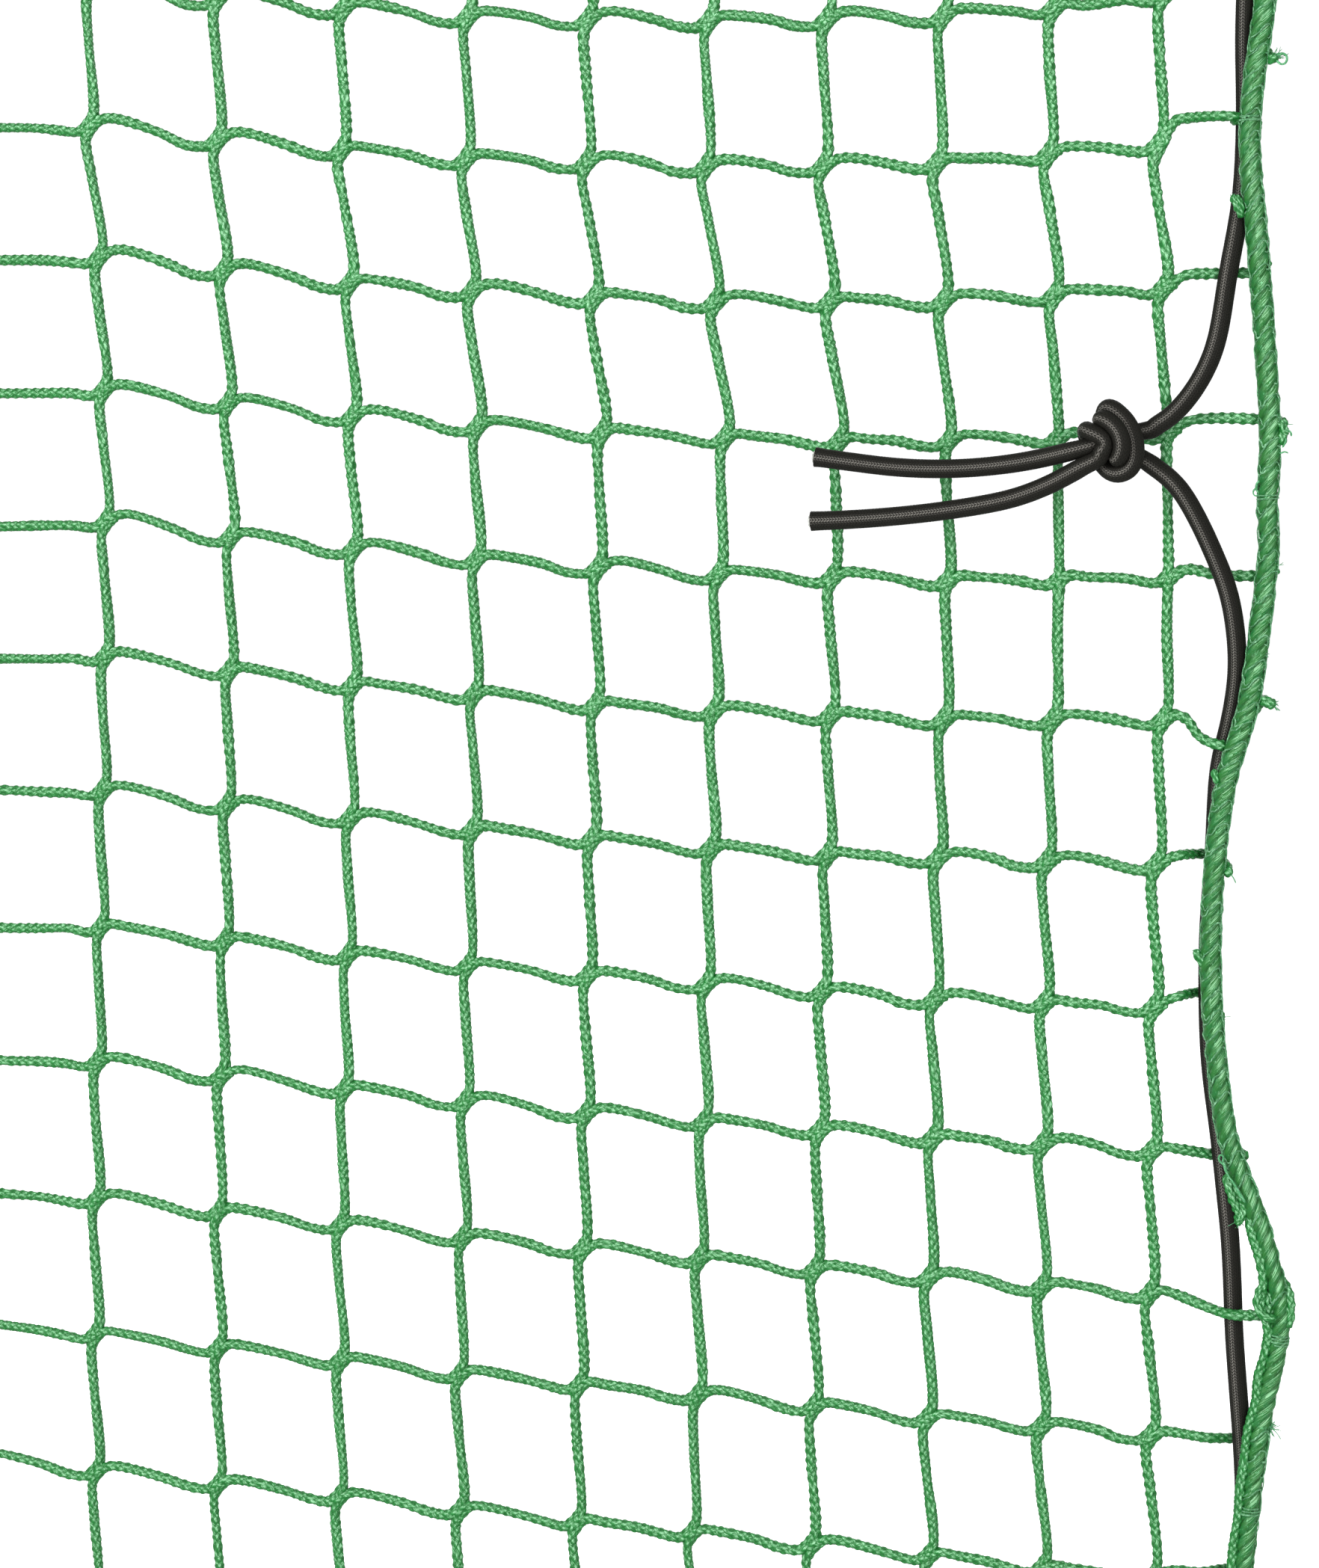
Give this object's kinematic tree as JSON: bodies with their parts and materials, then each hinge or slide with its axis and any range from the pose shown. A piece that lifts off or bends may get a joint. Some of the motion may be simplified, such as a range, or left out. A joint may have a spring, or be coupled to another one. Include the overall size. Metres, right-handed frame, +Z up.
{
  "type": "cargo net",
  "caption": "Square-mesh knotless cargo net with a laced rope border and an elastic cord woven through its edge meshes and tied off with two free tails.",
  "frame": {"origin": "middle of the net's lower edge, at the level of a floor that the cut cord ends under the bottom rope just meet, in the plane of the mesh", "axes": "+Z up the hanging net, +X towards the side where the elastic cord is tied, -Y out of the net's front, where the knot lies"},
  "size_m": [0.487, 0.0331, 0.6698],
  "materials": {
    "mesh_cord": "satin",
    "border_rope": "satin",
    "lacing_thread": "satin",
    "elastic_sheath": "matte",
    "rubber_core": "matte"
  },
  "bodies": {
    "upper_panel": {"border_rope_upper": "border_rope", "lacing_thread_upper": "lacing_thread", "cross_cords_upper": "mesh_cord", "down_cords_upper": "mesh_cord", "fold_cord_upper": "mesh_cord", "elastic_sheath_upper": "elastic_sheath", "elastic_core_upper": "rubber_core"},
    "middle_panel": {"border_rope_middle": "border_rope", "lacing_thread_middle": "lacing_thread", "cross_cords_middle": "mesh_cord", "down_cords_middle": "mesh_cord", "fold_cord_lower": "mesh_cord", "elastic_sheath_middle": "elastic_sheath", "elastic_core_middle": "rubber_core"},
    "lower_panel": {"border_rope_lower": "border_rope", "lacing_thread_lower": "lacing_thread", "cross_cords_lower": "mesh_cord", "down_cords_lower": "mesh_cord", "elastic_sheath_lower": "elastic_sheath", "elastic_core_lower": "rubber_core"},
    "tie": {"tie_sheath_upper": "elastic_sheath", "tie_core_upper": "rubber_core", "tie_sheath_lower": "elastic_sheath", "tie_core_lower": "rubber_core", "knot_turns": "elastic_sheath"},
    "upper_tail": {"tail_sheath_upper": "elastic_sheath", "tail_core_upper": "rubber_core"},
    "lower_tail": {"tail_sheath_lower": "elastic_sheath", "tail_core_lower": "rubber_core"}
  },
  "joints": [
    {"name": "fold_upper", "type": "hinge", "parent": "upper_panel", "child": "middle_panel", "pos_m": [0, 0, 0.3574], "axis": [1, 0, 0], "range_deg": [-90, 90]},
    {"name": "fold_lower", "type": "hinge", "parent": "middle_panel", "child": "lower_panel", "pos_m": [0, 0, 0.1774], "axis": [1, 0, 0], "range_deg": [-90, 90]},
    {"name": "tie_swing", "type": "hinge", "parent": "upper_panel", "child": "tie", "pos_m": [0.22151, 0, 0.4924], "axis": [0, 0, 1], "range_deg": [0, 85], "stiffness_Nm_per_rad": 0.002},
    {"name": "upper_tail_swing", "type": "hinge", "parent": "tie", "child": "upper_tail", "pos_m": [0.1735, -0.0141, 0.49545], "axis": [0, 1, 0], "range_deg": [0, 50], "stiffness_Nm_per_rad": 0.005},
    {"name": "lower_tail_swing", "type": "hinge", "parent": "tie", "child": "lower_tail", "pos_m": [0.1735, -0.0141, 0.48935], "axis": [0, 1, 0], "range_deg": [-50, 0], "stiffness_Nm_per_rad": 0.005}
  ]
}
